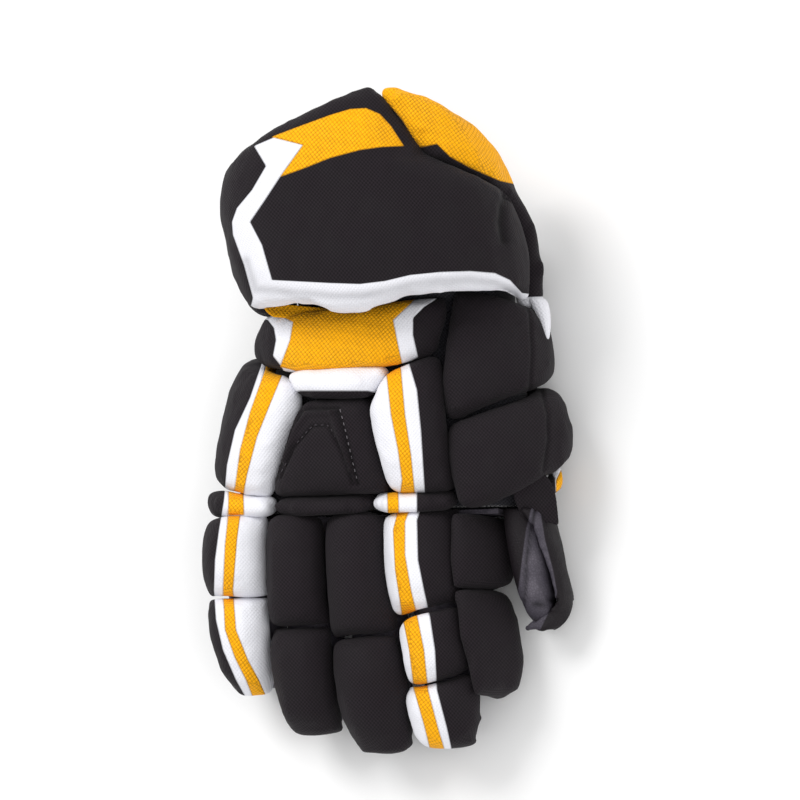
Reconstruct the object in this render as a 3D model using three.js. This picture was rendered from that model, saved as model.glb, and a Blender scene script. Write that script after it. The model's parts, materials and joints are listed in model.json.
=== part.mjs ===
// An ice hockey glove for the right hand, lying palm down.
// X runs across the glove with the thumb at +X, Y runs from the fingertips to the cuff, and Z is up,
// out of the back of the hand. All lengths are in millimetres.

import * as THREE from 'three';

// Overall sizes
const gloveLength = 350;        // middle fingertip to the top of the cuff's mouth
const fingerWidth = 31;         // a finger stall, outside
const fingerGap = 2.5;          // between two stalls at their mouths
const padOverhang = 8;          // how far the outer fingers' pads stand past their stalls
const handHeight = 50;          // the liner's height over the palm at the middle of the hand
const cuffFlare = 22;           // how much wider the cuff is than the hand
const cuffRise = 24;            // how much higher the cuff's mouth stands than its lip

const fingerPitch = fingerWidth + fingerGap;
const handWidth = 4 * fingerPitch + 2 * padOverhang;
const cuffWidth = handWidth + cuffFlare;

// Thicknesses
const cuffThickness = 17;
const rollThickness = 20;       // the pads on the back of the hand
const fingerPadThickness = 21;
const thumbRimThickness = 4.8;
const sidePadThickness = 24;
const linerWall = 2;
const stallWall = 2;
const palmThickness = 2.5;
const webThickness = 2.5;

// Clearances
const clearance = 0.3;          // between two pieces that touch
const seatDepth = 1.4;          // from the liner's true curve to a pad, which clears the facets of both
const grooveWidth = 1.4;        // between two pads that lie side by side
const cuffEase = 1.8;           // between the cuff's panels and the liner inside them
const thumbBed = 3.6;           // from the thumb's stall to the pad round it, which clears its tapering tip
const webGap = 0.4;             // beside the web, where it is sewn to the stalls
const lipClearance = 8;         // under the cuff's lip, over the wrist roll

// Fineness of the solids
const linerSides = 40;
const stallSides = 16;
const padCells = 6;
const cuffBackCells = 14;
const padBevel = 0.07;          // width of a pad's rounded edge, as a share of the pad

const floorHeight = palmThickness + clearance;

// The liner over the hand. at is a share of gloveLength, left and right of handWidth, top of handHeight,
// and slim the thumb side's half width as a share of what left and right give.
const handTable = [
  { at: -0.131, left: -0.560, right: 0.725, top: 0.78, slim: 0.88 },
  { at: -0.090, left: -0.520, right: 0.675, top: 0.84, slim: 0.94 },
  { at: -0.030, left: -0.455, right: 0.610, top: 0.93, slim: 1 },
  { at: 0.043, left: -0.400, right: 0.565, top: 1.02, slim: 1 },
  { at: 0.100, left: -0.350, right: 0.545, top: 1.07, slim: 1 },
  { at: 0.150, left: -0.280, right: 0.525, top: 1.08, slim: 1 },
  { at: 0.190, left: -0.248, right: 0.520, top: 1.10, slim: 1 },
];
const handSquareness = 2.6;
const handShoulder = 0.38;      // height of the widest level, as a share of the section's height
const footSquareness = 5;       // below the widest level, where hand and cuff stand on the palm

// The outside of the cuff. centre and half are shares of cuffWidth, rise of cuffRise.
const cuffTable = [
  { at: 0.130, centre: 0.128, half: 0.473, rise: 0.00 },
  { at: 0.230, centre: 0.099, half: 0.480, rise: 0.35 },
  { at: 0.330, centre: 0.067, half: 0.467, rise: 0.70 },
  { at: 0.430, centre: 0.046, half: 0.446, rise: 0.95 },
  { at: 0.500, centre: 0.034, half: 0.436, rise: 1.00 },
];
const cuffSquareness = 2.5;
const cuffShoulder = 0.42;

// The cuff's lower lip and its mouth, as shares of gloveLength, along its girth (shares of cuffWidth).
const cuffEdgeTable = [
  { girth: -0.90, lip: 0.170, mouth: 0.310 },
  { girth: -0.58, lip: 0.176, mouth: 0.341 },
  { girth: -0.33, lip: 0.171, mouth: 0.390 },
  { girth: -0.17, lip: 0.168, mouth: 0.428 },
  { girth: -0.04, lip: 0.150, mouth: 0.450 },
  { girth: 0.17, lip: 0.172, mouth: 0.478 },
  { girth: 0.35, lip: 0.181, mouth: 0.453 },
  { girth: 0.50, lip: 0.184, mouth: 0.419 },
  { girth: 0.65, lip: 0.168, mouth: 0.380 },
  { girth: 0.90, lip: 0.150, mouth: 0.340 },
];

// Where the cuff's panels meet, along its girth, from the lip (step 0) to the mouth (step 1).
const cuffSeamTable = [
  { step: 0.00, outer: -0.440, inner: 0.610 },
  { step: 0.35, outer: -0.500, inner: 0.610 },
  { step: 0.58, outer: -0.520, inner: 0.590 },
  { step: 0.64, outer: -0.520, inner: 0.420 },
  { step: 0.71, outer: -0.512, inner: 0.280 },
  { step: 0.82, outer: -0.495, inner: 0.236 },
  { step: 1.00, outer: -0.430, inner: 0.165 },
];
const cuffHem = 0.69;           // where the cuff ends beside the palm, along its girth
const hemThickness = 0.65;      // the cuff's thickness at its hem on the thumb side, as a share of the rest
const cuffSteps = [0, 0.06, 0.25, 0.45, 0.58, 0.64, 0.71, 0.82, 0.94, 1];

// A finger stall from its mouth to its tip. width is a share of the finger's, the heights of handHeight.
const stallTable = [
  { step: 0.00, width: 1.00, top: 0.76, bottom: 0.060 },
  { step: 0.25, width: 1.00, top: 0.76, bottom: 0.120 },
  { step: 0.50, width: 0.98, top: 0.73, bottom: 0.150 },
  { step: 0.72, width: 0.93, top: 0.66, bottom: 0.120 },
  { step: 0.90, width: 0.82, top: 0.53, bottom: 0.070 },
  { step: 1.00, width: 0.56, top: 0.37, bottom: 0.100 },
];
const stallSquareness = 2.6;

// The fingers. root and tip are shares of fingerPitch across the glove, end of gloveLength along it,
// and width of fingerWidth.
const frontPlane = -0.131;
const fingers = {
  pinky: { root: -2.06, tip: -1.92, end: -0.388, width: 0.98 },
  ring: { root: -1.04, tip: -0.94, end: -0.450, width: 0.98 },
  middle: { root: -0.02, tip: 0.24, end: -0.480, width: 0.98 },
  index: { root: 1.05, tip: 1.34, end: -0.476, width: 0.98 },
  thumb: { root: 2.52, tip: 2.78, end: -0.302, width: 0.62 },
};

/** Smooth value of one named column, at a place along the key column, held at the table's ends. */
function lookUp(table, key, column, at) {
  let row = 0;
  while (row < table.length - 2 && at > table[row + 1][key]) {
    row += 1;
  }
  const low = table[row];
  const high = table[row + 1];
  const before = table[Math.max(row - 1, 0)];
  const after = table[Math.min(row + 2, table.length - 1)];
  const span = high[key] - low[key];
  const share = THREE.MathUtils.clamp((at - low[key]) / span, 0, 1);
  const slopeLow = (high[column] - before[column]) / (high[key] - before[key]) * span;
  const slopeHigh = (after[column] - low[column]) / (after[key] - low[key]) * span;
  const square = share * share;
  const cube = square * share;
  return (2 * cube - 3 * square + 1) * low[column] + (cube - 2 * square + share) * slopeLow
    + (3 * square - 2 * cube) * high[column] + (cube - square) * slopeHigh;
}

/** Point of a rounded section, at a turn from its crown (0) towards the thumb side (positive). */
function sectionPoint(section, turn) {
  const { centre, half, slim = 1, top, bottom, middle, squareness, foot } = section;
  const sine = Math.sin(turn);
  const cosine = Math.cos(turn);
  const power = 2 / (cosine > 0 ? squareness : foot);
  const across = Math.sign(sine) * Math.abs(sine) ** power;
  const up = Math.sign(cosine) * Math.abs(cosine) ** power;
  const height = up > 0 ? top - middle : middle - bottom;
  return [centre + (sine > 0 ? slim : 1) * half * across, middle + height * up];
}

/** Points round a section at even distances, the first at the bottom, as [x, z]. */
function sectionRing(section, sides) {
  const walk = walkSection(section);
  const ring = [];
  for (let side = 0; side < sides; side += 1) {
    const length = walk.start + (walk.end - walk.start) * side / sides;
    ring.push(alongWalk(walk, length));
  }
  return ring;
}

/** Samples round a section with the distance of each from the crown, thumb side positive. */
function walkSection(section) {
  const samples = 144;
  const points = [];
  for (let k = 0; k <= samples; k += 1) {
    points.push(sectionPoint(section, Math.PI * (2 * k / samples - 1)));
  }
  const lengths = [0];
  for (let k = 1; k <= samples; k += 1) {
    const step = Math.hypot(points[k][0] - points[k - 1][0], points[k][1] - points[k - 1][1]);
    lengths.push(lengths[k - 1] + step);
  }
  const crown = lengths[samples / 2];
  const fromCrown = lengths.map((length) => length - crown);
  return { points, lengths: fromCrown, start: fromCrown[0], end: fromCrown[samples] };
}

/** Point [x, z] at a distance from the crown along a walk. */
function alongWalk(walk, length) {
  const { points, lengths } = walk;
  let k = 1;
  while (k < lengths.length - 1 && length > lengths[k]) {
    k += 1;
  }
  const share = THREE.MathUtils.clamp((length - lengths[k - 1]) / (lengths[k] - lengths[k - 1]), 0, 1);
  return [
    THREE.MathUtils.lerp(points[k - 1][0], points[k][0], share),
    THREE.MathUtils.lerp(points[k - 1][1], points[k][1], share),
  ];
}

/** A surface of sections: gives the point at a distance round from the crown and a place along Y. */
function skin(sectionAt) {
  const walks = new Map();
  return (girth, y) => {
    const key = y.toFixed(3);
    if (!walks.has(key)) {
      walks.set(key, walkSection(sectionAt(y)));
    }
    const [x, z] = alongWalk(walks.get(key), girth);
    return new THREE.Vector3(x, y, z);
  };
}

/** Unit normal of a surface, pointing out of the glove. */
function normalAt(surface, girth, y) {
  const reach = 2;
  const round = surface(girth + reach, y).sub(surface(girth - reach, y));
  const along = surface(girth, y + reach).sub(surface(girth, y - reach));
  return round.cross(along).normalize();
}

/** A closed solid from its corners and its faces, with every face turned outwards. */
function solid(corners, faces) {
  let volume = 0;
  for (const [a, b, c] of faces) {
    volume += corners[a].dot(corners[b].clone().cross(corners[c]));
  }
  const outward = volume > 0 ? faces : faces.map(([a, b, c]) => [a, c, b]);
  const geometry = new THREE.BufferGeometry();
  const values = corners.flatMap((corner) => [corner.x, corner.y, corner.z]);
  geometry.setAttribute('position', new THREE.Float32BufferAttribute(values, 3));
  geometry.setIndex(outward.flat());
  geometry.computeVertexNormals();
  return geometry;
}

/** Two triangles of a four-sided cell. */
function cell(a, b, c, d) {
  return [[a, b, c], [a, c, d]];
}

/** Height of a pad over its bed, from its sewn edge (share 0 or 1) to its middle. */
function swell(share) {
  const edge = 0.42;
  return edge + (1 - edge) * Math.sqrt(1 - (2 * share - 1) ** 4);
}

/** Shares from 0 to 1 with a narrow cell at each edge and even ones between. */
function edgeShares(cells) {
  const shares = [0];
  for (let k = 0; k <= cells - 2; k += 1) {
    shares.push(THREE.MathUtils.lerp(padBevel, 1 - padBevel, k / (cells - 2)));
  }
  return [...shares, 1];
}

/**
 * A sewn pad on a surface. place gives [girth, y] at a share across and a share along,
 * and thickness the pad's full thickness there.
 */
function pad({
  surface,
  place,
  thickness,
  bed = seatDepth,
  splay = 1,
  across = edgeShares(padCells),
  along = edgeShares(padCells),
}) {
  const corners = [];
  for (const layer of [0, 1]) {
    for (const v of along) {
      for (const u of across) {
        const [girth, y] = place(u, v);
        const rise = bed + layer * thickness(u, v) * swell(u) * swell(v);
        const normal = normalAt(surface, girth, y);
        normal.x *= splay;
        const corner = surface(girth, y).addScaledVector(normal, rise);
        corner.z = Math.max(corner.z, clearance);
        corners.push(corner);
      }
    }
  }
  const columns = across.length;
  const rows = along.length;
  const index = (layer, row, column) => (layer * rows + row) * columns + column;
  const faces = [];
  for (let row = 0; row < rows - 1; row += 1) {
    for (let column = 0; column < columns - 1; column += 1) {
      const lower = [index(0, row, column), index(0, row, column + 1), index(0, row + 1, column + 1),
        index(0, row + 1, column)];
      const upper = lower.map((corner) => corner + rows * columns);
      faces.push(...cell(...lower.reverse()), ...cell(...upper));
    }
  }
  for (let column = 0; column < columns - 1; column += 1) {
    faces.push(...cell(index(0, 0, column), index(0, 0, column + 1),
      index(1, 0, column + 1), index(1, 0, column)));
    faces.push(...cell(index(0, rows - 1, column + 1), index(0, rows - 1, column),
      index(1, rows - 1, column), index(1, rows - 1, column + 1)));
  }
  for (let row = 0; row < rows - 1; row += 1) {
    faces.push(...cell(index(0, row + 1, 0), index(0, row, 0), index(1, row, 0), index(1, row + 1, 0)));
    faces.push(...cell(index(0, row, columns - 1), index(0, row + 1, columns - 1),
      index(1, row + 1, columns - 1), index(1, row, columns - 1)));
  }
  return solid(corners, faces);
}

/** A thin sleeve through rings of points, outside and inside. A closed one ends in a tip. */
function sleeve(outerRings, innerRings, closed) {
  const sides = outerRings[0].length;
  const rings = outerRings.length;
  const corners = [...outerRings.flat(), ...innerRings.flat()];
  const index = (layer, ring, side) => (layer * rings + ring) * sides + side % sides;
  const faces = [];
  for (let ring = 0; ring < rings - 1; ring += 1) {
    for (let side = 0; side < sides; side += 1) {
      faces.push(...cell(index(0, ring, side), index(0, ring, side + 1),
        index(0, ring + 1, side + 1), index(0, ring + 1, side)));
      faces.push(...cell(index(1, ring, side + 1), index(1, ring, side),
        index(1, ring + 1, side), index(1, ring + 1, side + 1)));
    }
  }
  const rimFaces = (ring, flip) => {
    for (let side = 0; side < sides; side += 1) {
      const rim = [index(0, ring, side + 1), index(0, ring, side),
        index(1, ring, side), index(1, ring, side + 1)];
      faces.push(...cell(...(flip ? rim.reverse() : rim)));
    }
  };
  rimFaces(0, false);
  if (closed) {
    for (const layer of [0, 1]) {
      const tip = new THREE.Vector3();
      for (let side = 0; side < sides; side += 1) {
        tip.addScaledVector(corners[index(layer, rings - 1, side)], 1 / sides);
      }
      corners.push(tip);
      for (let side = 0; side < sides; side += 1) {
        const edge = [index(layer, rings - 1, side), index(layer, rings - 1, side + 1)];
        faces.push(layer === 0 ? [...edge, corners.length - 1] : [...edge.reverse(), corners.length - 1]);
      }
    }
  } else {
    rimFaces(rings - 1, true);
  }
  return solid(corners, faces);
}

/** A section moved inwards all round by a wall. */
function inset(section, wall) {
  return {
    ...section,
    half: section.half - wall,
    top: section.top - wall,
    bottom: section.bottom + wall,
  };
}

/** Ring of points of a section that stands at a place along Y. */
function ringAt(section, y, sides) {
  return sectionRing(section, sides).map(([x, z]) => new THREE.Vector3(x, y, z));
}

// The hand's and the cuff's sections
function handSection(y) {
  const at = y / gloveLength;
  const left = handWidth * lookUp(handTable, 'at', 'left', at);
  const right = handWidth * lookUp(handTable, 'at', 'right', at);
  const top = handHeight * lookUp(handTable, 'at', 'top', at);
  return {
    centre: (left + right) / 2,
    half: (right - left) / 2,
    slim: lookUp(handTable, 'at', 'slim', at),
    top,
    bottom: floorHeight,
    middle: floorHeight + handShoulder * (top - floorHeight),
    squareness: handSquareness,
    foot: footSquareness,
  };
}

const wristTop = handHeight * handTable[handTable.length - 1].top;
const lipHeight = wristTop + seatDepth + rollThickness + lipClearance + cuffThickness;

function cuffSection(y) {
  const at = y / gloveLength;
  const top = lipHeight + cuffRise * lookUp(cuffTable, 'at', 'rise', at);
  return {
    centre: cuffWidth * lookUp(cuffTable, 'at', 'centre', at),
    half: cuffWidth * lookUp(cuffTable, 'at', 'half', at) - cuffThickness,
    top: top - cuffThickness,
    bottom: floorHeight,
    middle: cuffShoulder * top,
    squareness: cuffSquareness,
    foot: footSquareness,
  };
}

const handSkin = skin(handSection);
const cuffSkin = skin(cuffSection);

// The liner: along the cuff's inside, then necked down to the wrist, then over the hand
const linerStations = [
  { at: 0.300, over: 'cuff' },
  { at: 0.265, over: 'cuff' },
  { at: 0.225, over: 'cuff' },
  { at: 0.190, over: 'hand' },
  { at: 0.160, over: 'hand' },
  { at: 0.130, over: 'hand' },
  { at: 0.100, over: 'hand' },
  { at: 0.070, over: 'hand' },
  { at: 0.043, over: 'hand' },
  { at: 0.005, over: 'hand' },
  { at: -0.030, over: 'hand' },
  { at: -0.062, over: 'hand' },
  { at: -0.095, over: 'hand' },
  { at: frontPlane, over: 'hand' },
];

function makeLiner() {
  const outer = [];
  const inner = [];
  for (const station of linerStations) {
    const y = gloveLength * station.at;
    const section = station.over === 'cuff' ? inset(cuffSection(y), cuffEase) : handSection(y);
    section.bottom = floorHeight;
    outer.push(ringAt(section, y, linerSides));
    inner.push(ringAt(inset(section, linerWall), y, linerSides));
  }
  return sleeve(outer, inner, false);
}

const palmStations = [frontPlane, -0.09, -0.03, 0.043, 0.1, 0.157, 0.225, 0.3];
const palmShare = 0.74;         // half width of the palm, as a share of the hand's or the cuff's

/** The palm: a flat sheet of leather under the liner. */
function makePalm() {
  const shape = new THREE.Shape();
  const edges = palmStations.map((at) => {
    const y = gloveLength * at;
    const section = at > handTable[handTable.length - 1].at ? cuffSection(y) : handSection(y);
    const reach = palmShare * section.half;
    return { y, left: section.centre - reach, right: section.centre + reach };
  });
  shape.moveTo(edges[0].left, edges[0].y);
  for (const edge of edges) {
    shape.lineTo(edge.right, edge.y);
  }
  for (const edge of edges.reverse()) {
    shape.lineTo(edge.left, edge.y);
  }
  return new THREE.ExtrudeGeometry(shape, { depth: palmThickness, bevelEnabled: false });
}

// The fingers' sections
function stallSection(finger, y) {
  const start = gloveLength * frontPlane;
  const end = gloveLength * finger.end;
  const step = (y - start) / (end - start);
  const top = handHeight * lookUp(stallTable, 'step', 'top', step);
  const bottom = handHeight * lookUp(stallTable, 'step', 'bottom', step);
  return {
    centre: fingerPitch * THREE.MathUtils.lerp(finger.root, finger.tip, THREE.MathUtils.clamp(step, 0, 1)),
    half: fingerWidth * finger.width * lookUp(stallTable, 'step', 'width', step) / 2,
    top,
    bottom,
    middle: (top + bottom) / 2,
    squareness: stallSquareness,
    foot: stallSquareness,
  };
}

function makeStall(finger) {
  const start = gloveLength * frontPlane - clearance;
  const end = gloveLength * finger.end;
  const outer = [];
  const inner = [];
  for (const { step } of stallTable) {
    const y = THREE.MathUtils.lerp(start, end, step);
    const depth = Math.max(y, end + stallWall);
    const section = stallSection(finger, y);
    outer.push(ringAt(section, y, stallSides));
    inner.push(ringAt(inset(section, stallWall), depth, stallSides));
  }
  return sleeve(outer, inner, true);
}

const group = new THREE.Group();
const black = { color: 0x2b262b, roughness: 0.85 };
const leather = { color: 0x4a4650, roughness: 0.6 };
const yellow = { color: 0xfcb70a, roughness: 0.8 };
const white = { color: 0xf2f2f7, roughness: 0.8 };

function add(name, geometry, finish) {
  const mesh = new THREE.Mesh(geometry, new THREE.MeshStandardMaterial({ ...finish, metalness: 0 }));
  mesh.name = name;
  group.add(mesh);
}

// The cuff's panels
const outerSeam = (step) => lookUp(cuffSeamTable, 'step', 'outer', step);
const innerSeam = (step) => lookUp(cuffSeamTable, 'step', 'inner', step);
const cuffPanels = {
  cuff_outer_pad: { left: () => -cuffHem, right: outerSeam, hem: 1, cells: padCells, finish: black },
  cuff_back_pad: { left: outerSeam, right: innerSeam, hem: 1, cells: cuffBackCells, finish: black },
  cuff_thumb_pad: { left: innerSeam, right: () => cuffHem, hem: hemThickness, cells: padCells, finish: yellow },
};
for (const [name, panel] of Object.entries(cuffPanels)) {
  const place = (u, v) => {
    const left = cuffWidth * panel.left(v) + grooveWidth / 2;
    const right = cuffWidth * panel.right(v) - grooveWidth / 2;
    const girth = THREE.MathUtils.lerp(left, right, u);
    const lip = lookUp(cuffEdgeTable, 'girth', 'lip', girth / cuffWidth);
    const mouth = lookUp(cuffEdgeTable, 'girth', 'mouth', girth / cuffWidth);
    return [girth, gloveLength * THREE.MathUtils.lerp(lip, mouth, v)];
  };
  add(name, pad({
    surface: cuffSkin,
    place,
    thickness: (u) => cuffThickness * THREE.MathUtils.lerp(1, panel.hem, u),
    bed: 0,
    along: cuffSteps,
    across: edgeShares(panel.cells),
  }), panel.finish);
}

add('liner', makeLiner(), black);
add('palm', makePalm(), leather);
for (const [name, finger] of Object.entries(fingers)) {
  add(`${name}_stall`, makeStall(finger), leather);
}

/** Place across and along a pad from its rows, with edges in one unit and ends in shares of the length. */
function placeByRows(rows, unit, centreAt) {
  return (u, v) => {
    const leftAt = gloveLength * lookUp(rows, 'step', 'leftAt', v);
    const rightAt = gloveLength * lookUp(rows, 'step', 'rightAt', v);
    const bow = gloveLength * lookUp(rows, 'step', 'bow', v);
    const y = THREE.MathUtils.lerp(leftAt, rightAt, u) + bow * (1 - (2 * u - 1) ** 2);
    const left = unit * lookUp(rows, 'step', 'left', v) + grooveWidth / 2;
    const right = unit * lookUp(rows, 'step', 'right', v) - grooveWidth / 2;
    return [THREE.MathUtils.lerp(left, right, u) - centreAt(y), y];
  };
}

// Pads on the back of the hand. thick is a share of rollThickness, and left and right beside it are the
// shares of that at the pad's two sides. In the rows left and right are girths from the liner's crown in
// shares of handWidth, leftAt and rightAt the places of a row's two ends along the glove in shares of
// gloveLength, and bow how far the row's middle departs from the straight line between them.
const handPads = {
  wrist_roll: {
    thick: 1, left: 0.72, right: 1, finish: yellow, cells: 12,
    rows: [
      { step: 0, left: -0.630, right: 0.236, leftAt: 0.116, rightAt: 0.098, bow: -0.030 },
      { step: 1, left: -0.615, right: 0.236, leftAt: 0.158, rightAt: 0.178, bow: 0.002 },
    ],
  },
  backhand_bar: {
    thick: 0.85, left: 1, right: 1, finish: white,
    rows: [
      { step: 0, left: -0.235, right: 0.010, leftAt: 0.041, rightAt: 0.041, bow: 0 },
      { step: 1, left: -0.285, right: 0.062, leftAt: 0.070, rightAt: 0.070, bow: 0 },
    ],
  },
  backhand_pad: {
    thick: 0.92, left: 1, right: 1, finish: black,
    rows: [
      { step: 0, left: -0.395, right: 0.058, leftAt: -0.102, rightAt: -0.102, bow: 0 },
      { step: 1, left: -0.240, right: 0.008, leftAt: 0.037, rightAt: 0.037, bow: 0 },
    ],
  },
  pinky_side_roll: {
    thick: 1.02, left: 0.8, right: 1, finish: white, cells: 8,
    rows: [
      { step: 0, left: -0.700, right: -0.400, leftAt: -0.090, rightAt: -0.102, bow: 0 },
      { step: 0.8, left: -0.650, right: -0.248, leftAt: 0.082, rightAt: 0.036, bow: 0 },
      { step: 1, left: -0.625, right: -0.292, leftAt: 0.112, rightAt: 0.068, bow: 0 },
    ],
  },
  index_side_roll: {
    thick: 1.02, left: 1, right: 1, finish: white,
    rows: [
      { step: 0, left: 0.060, right: 0.292, leftAt: -0.102, rightAt: -0.102, bow: 0 },
      { step: 0.8, left: 0.010, right: 0.262, leftAt: 0.036, rightAt: 0.066, bow: 0 },
      { step: 1, left: 0.066, right: 0.246, leftAt: 0.072, rightAt: 0.096, bow: 0 },
    ],
  },
  knuckle_roll_pinky: {
    thick: 0.85, left: 0.8, right: 1, finish: white,
    rows: [
      { step: 0, left: -0.690, right: -0.390, leftAt: -0.130, rightAt: -0.130, bow: 0 },
      { step: 1, left: -0.690, right: -0.390, leftAt: -0.096, rightAt: -0.107, bow: 0 },
    ],
  },
  knuckle_roll_center: {
    thick: 0.85, left: 1, right: 1, finish: black,
    rows: [
      { step: 0, left: -0.390, right: -0.010, leftAt: -0.130, rightAt: -0.130, bow: 0 },
      { step: 1, left: -0.390, right: -0.010, leftAt: -0.107, rightAt: -0.107, bow: 0 },
    ],
  },
  knuckle_roll_index: {
    thick: 0.85, left: 1, right: 1, finish: white,
    rows: [
      { step: 0, left: -0.010, right: 0.292, leftAt: -0.130, rightAt: -0.130, bow: 0 },
      { step: 1, left: -0.010, right: 0.292, leftAt: -0.107, rightAt: -0.107, bow: 0 },
    ],
  },
  thumb_roll_1: {
    thick: 0.95, left: 1, right: 0.9, finish: black, cells: 9,
    rows: [
      { step: 0, left: 0.268, right: 0.680, leftAt: -0.004, rightAt: 0.064, bow: 0 },
      { step: 1, left: 0.246, right: 0.610, leftAt: 0.190, rightAt: 0.147, bow: 0.006 },
    ],
  },
  thumb_roll_2: {
    thick: 0.95, left: 1, right: 0.95, finish: black, cells: 9,
    rows: [
      { step: 0, left: 0.300, right: 0.725, leftAt: -0.129, rightAt: -0.034, bow: -0.022 },
      { step: 1, left: 0.270, right: 0.710, leftAt: -0.010, rightAt: 0.058, bow: 0 },
    ],
  },
  thumb_stripe_pad: {
    thick: 0.4, left: 0.9, right: 0.9, finish: white,
    rows: [
      { step: 0, left: 0.500, right: 0.680, leftAt: -0.127, rightAt: -0.098, bow: 0 },
      { step: 1, left: 0.500, right: 0.680, leftAt: -0.113, rightAt: -0.057, bow: -0.011 },
    ],
  },
};
for (const [name, piece] of Object.entries(handPads)) {
  add(name, pad({
    surface: handSkin,
    place: placeByRows(piece.rows, handWidth, () => 0),
    thickness: (u) => rollThickness * piece.thick * THREE.MathUtils.lerp(piece.left, piece.right, u),
    across: edgeShares(piece.cells ?? padCells),
  }), piece.finish);
}

// Pads along the fingers. left and right are places across the glove in shares of fingerPitch,
// leftAt and rightAt places along it in shares of gloveLength, and thick a share of the pad's thickness.
const fingerPads = {
  pinky: {
    pinky_roll_1: [
      { step: 0, left: -2.66, right: -1.60, leftAt: -0.248, rightAt: -0.252, bow: 0, thick: 0.92 },
      { step: 0.5, left: -2.72, right: -1.59, leftAt: -0.190, rightAt: -0.194, bow: 0, thick: 1.00 },
      { step: 1, left: -2.64, right: -1.58, leftAt: -0.134, rightAt: -0.134, bow: 0, thick: 0.90 },
    ],
    pinky_roll_2: [
      { step: 0, left: -2.20, right: -1.66, leftAt: -0.390, rightAt: -0.394, bow: -0.008, thick: 0.70 },
      { step: 0.4, left: -2.48, right: -1.60, leftAt: -0.338, rightAt: -0.343, bow: 0, thick: 0.92 },
      { step: 1, left: -2.70, right: -1.60, leftAt: -0.254, rightAt: -0.258, bow: 0, thick: 0.96 },
    ],
  },
  ring: {
    ring_roll_1: [
      { step: 0, left: -1.57, right: -0.54, leftAt: -0.298, rightAt: -0.298, bow: 0, thick: 0.96 },
      { step: 1, left: -1.57, right: -0.60, leftAt: -0.134, rightAt: -0.134, bow: 0, thick: 0.94 },
    ],
    ring_roll_2: [
      { step: 0, left: -1.28, right: -0.50, leftAt: -0.450, rightAt: -0.454, bow: -0.008, thick: 0.70 },
      { step: 0.4, left: -1.47, right: -0.47, leftAt: -0.398, rightAt: -0.398, bow: 0, thick: 0.92 },
      { step: 1, left: -1.57, right: -0.54, leftAt: -0.304, rightAt: -0.304, bow: 0, thick: 0.96 },
    ],
  },
  middle: {
    middle_roll_1: [
      { step: 0, left: -0.52, right: 0.60, leftAt: -0.316, rightAt: -0.312, bow: 0, thick: 0.96 },
      { step: 1, left: -0.57, right: 0.40, leftAt: -0.134, rightAt: -0.134, bow: 0, thick: 0.94 },
    ],
    middle_roll_2: [
      { step: 0, left: -0.12, right: 0.68, leftAt: -0.482, rightAt: -0.484, bow: -0.008, thick: 0.70 },
      { step: 0.4, left: -0.44, right: 0.74, leftAt: -0.422, rightAt: -0.422, bow: 0, thick: 0.92 },
      { step: 1, left: -0.52, right: 0.61, leftAt: -0.322, rightAt: -0.318, bow: 0, thick: 0.96 },
    ],
  },
  index: {
    index_roll_1: [
      { step: 0, left: 0.63, right: 1.68, leftAt: -0.290, rightAt: -0.270, bow: 0, thick: 0.96 },
      { step: 1, left: 0.43, right: 1.62, leftAt: -0.134, rightAt: -0.134, bow: 0, thick: 0.94 },
    ],
    index_roll_2: [
      { step: 0, left: 0.78, right: 1.82, leftAt: -0.388, rightAt: -0.368, bow: -0.004, thick: 0.92 },
      { step: 1, left: 0.64, right: 1.69, leftAt: -0.296, rightAt: -0.276, bow: 0, thick: 0.96 },
    ],
    index_roll_3: [
      { step: 0, left: 1.00, right: 1.72, leftAt: -0.478, rightAt: -0.478, bow: -0.008, thick: 0.70 },
      { step: 0.5, left: 0.86, right: 1.88, leftAt: -0.434, rightAt: -0.424, bow: 0, thick: 0.84 },
      { step: 1, left: 0.79, right: 1.86, leftAt: -0.394, rightAt: -0.374, bow: -0.004, thick: 0.92 },
    ],
  },
};
const fingerSeat = 0.7;         // from a stall's crown line to the pad on it
const fingerSplay = 0;          // how far a finger pad's sides lean out with its bed
const padDroop = 0.26;          // how far a finger pad's bed drops at the stall's sides, over its half height

/** The bed of a finger's pads: the stall's crown line, drooping to both sides. */
function fingerBed(finger) {
  return (across, y) => {
    const { centre, half, top, middle } = stallSection(finger, y);
    const droop = padDroop * (top - middle) * (across / (fingerWidth / 2)) ** 2;
    return new THREE.Vector3(centre + across, y, top - droop);
  };
}
for (const [fingerName, pads] of Object.entries(fingerPads)) {
  const finger = fingers[fingerName];
  for (const [name, rows] of Object.entries(pads)) {
    add(name, pad({
      surface: fingerBed(finger),
      place: placeByRows(rows, fingerPitch, (y) => stallSection(finger, y).centre),
      thickness: (u, v) => fingerPadThickness * lookUp(rows, 'step', 'thick', v),
      bed: fingerSeat,
      splay: fingerSplay,
    }), fingerName === 'pinky' || fingerName === 'index' ? white : black);
  }
}

// The slanted pads on the thumb side of the index finger, which hang beside its pads
const sidePads = {
  index_side_pad_1: { start: -0.142, end: -0.249, thick: 1.00 },
  index_side_pad_2: { start: -0.252, end: -0.410, thick: 0.92 },
};
// Where their wall stands beside the index finger's pads, in shares of fingerPitch
const sideEdgeTable = [
  { at: -0.410, edge: 1.880 },
  { at: -0.368, edge: 1.845 },
  { at: -0.272, edge: 1.688 },
  { at: -0.142, edge: 1.630 },
];
const sidePadTop = 1.36;        // height of a side pad's upper edge, as a share of the stall's top
const sidePadFoot = 0.16;       // height of its lower edge, as a share of handHeight
const sideUpper = 0.3;          // its thickness at the upper edge, as a share of the pad's
const sideLower = 1.15;         // and at the lower edge

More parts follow.
